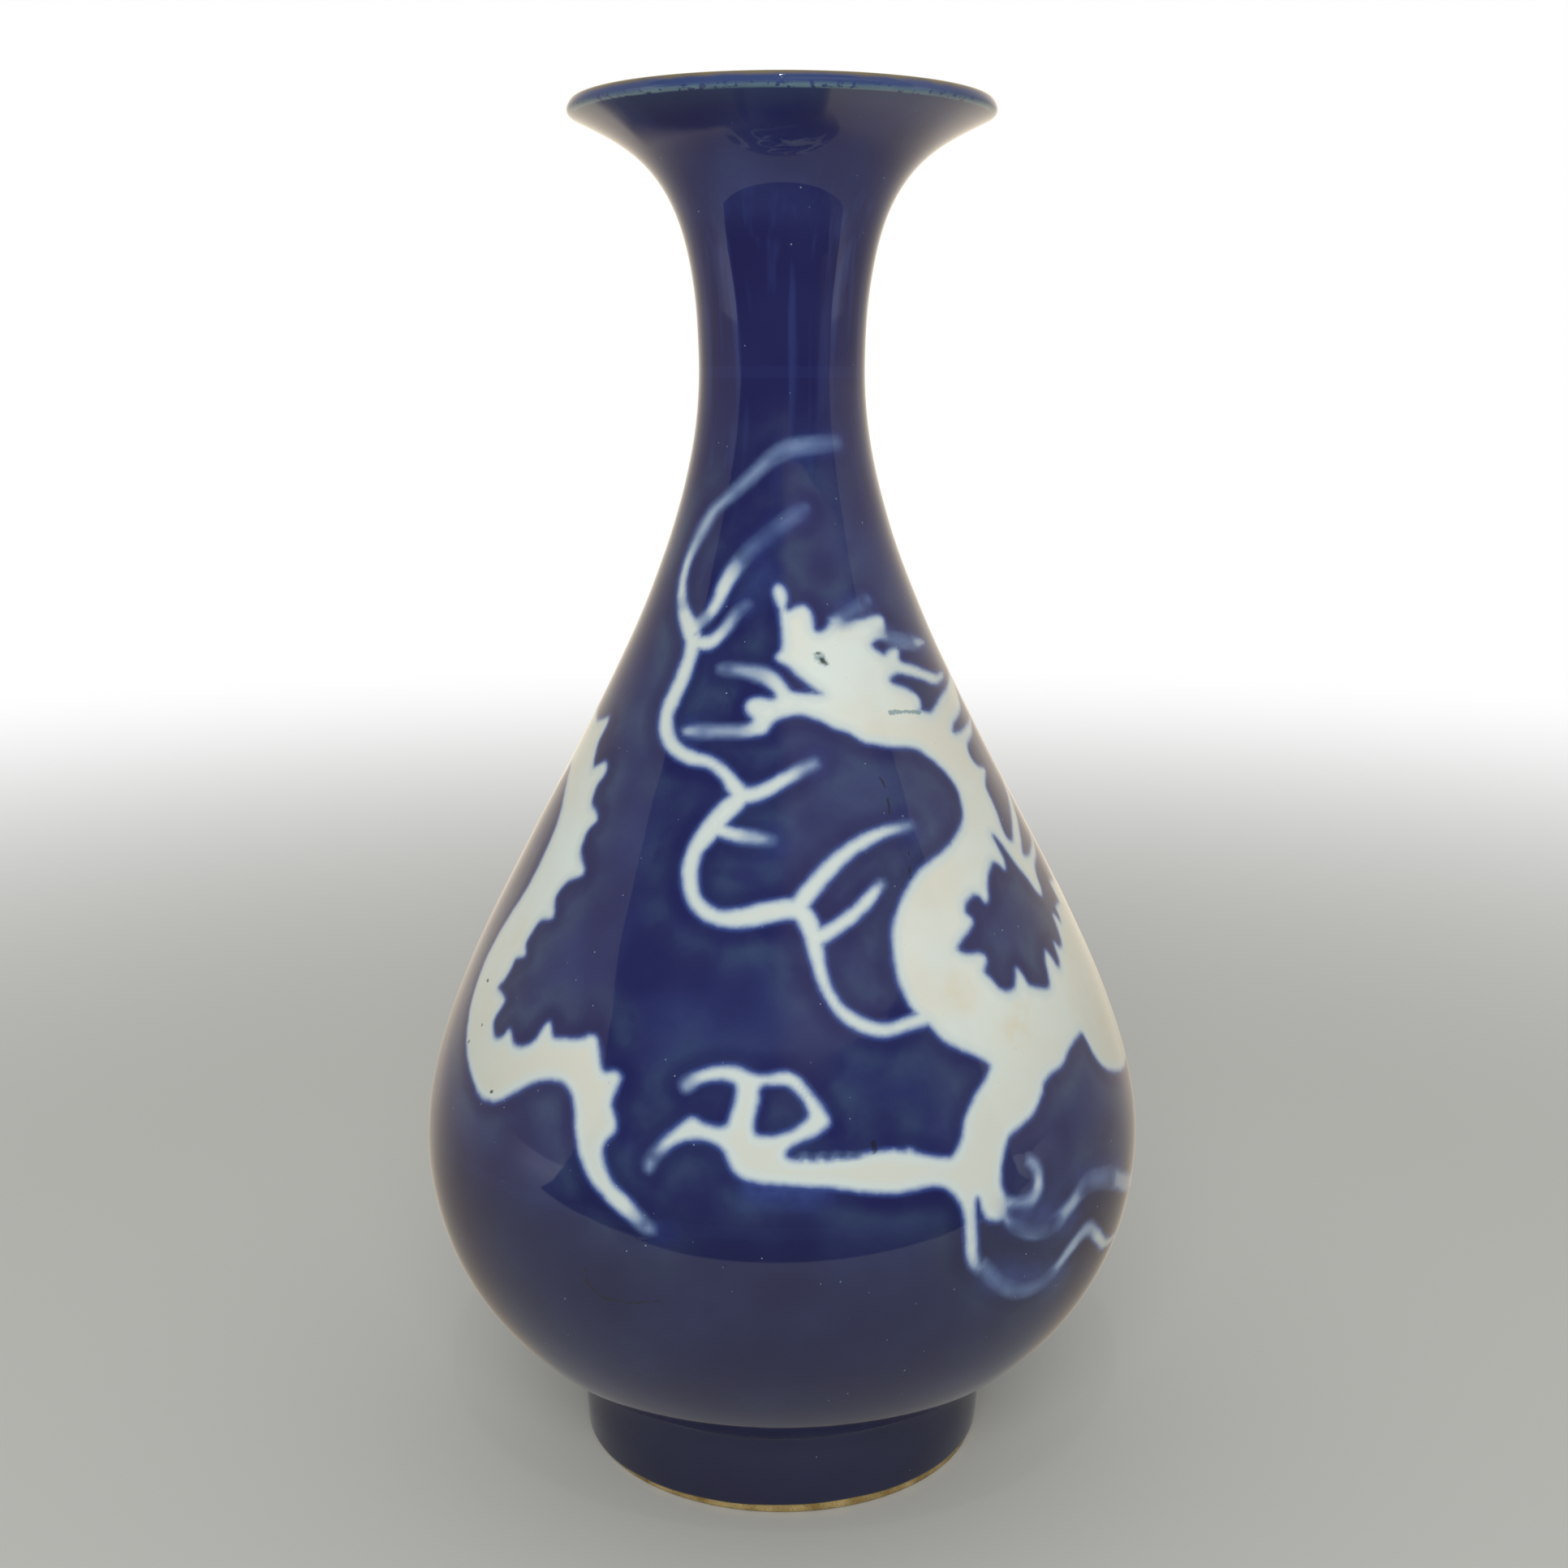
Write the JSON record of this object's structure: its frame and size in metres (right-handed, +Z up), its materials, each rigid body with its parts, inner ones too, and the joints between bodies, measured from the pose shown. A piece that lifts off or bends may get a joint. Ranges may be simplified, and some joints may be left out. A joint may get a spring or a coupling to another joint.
{
  "type": "pear-shaped bottle vase",
  "caption": "Pear-shaped bottle vase with a trumpet mouth and a foot ring, luted from thrown sections, blue glazed with a white slip dragon.",
  "frame": {"origin": "centre of the foot ring's resting face", "axes": "+Z up along the vase's axis, the dragon's head on the -Y side"},
  "size_m": [0.163, 0.163, 0.3],
  "materials": {
    "clay": "bare fired stoneware, buff to tan",
    "joint_slip": "fired slip of the same clay",
    "clear_glaze": "clear glaze over pale clay, glossy",
    "blue_glaze": "deep cobalt blue glaze, glossy",
    "white_slip": "white slip under clear glaze, glossy"
  },
  "bodies": {
    "root": {"foot_ring": "clay", "foot_slip": "joint_slip", "lower_body": "clay", "belly_slip": "joint_slip", "upper_body": "clay", "neck_slip": "joint_slip", "neck_and_mouth": "clay", "inner_glaze": "clear_glaze", "base_glaze": "clear_glaze", "blue_glaze": "blue_glaze", "dragon_head": "white_slip", "dragon_mane": "white_slip", "dragon_neck": "white_slip", "dragon_chest": "white_slip", "dragon_foreleg": "white_slip", "dragon_flank": "white_slip", "dragon_back": "white_slip", "dragon_hip": "white_slip", "dragon_tail": "white_slip", "right_hind_leg": "white_slip", "left_hind_leg": "white_slip", "shoulder_flame": "white_slip", "flame_tongues": "white_slip", "elbow_flame": "white_slip", "hind_flame": "white_slip"}
  },
  "joints": []
}
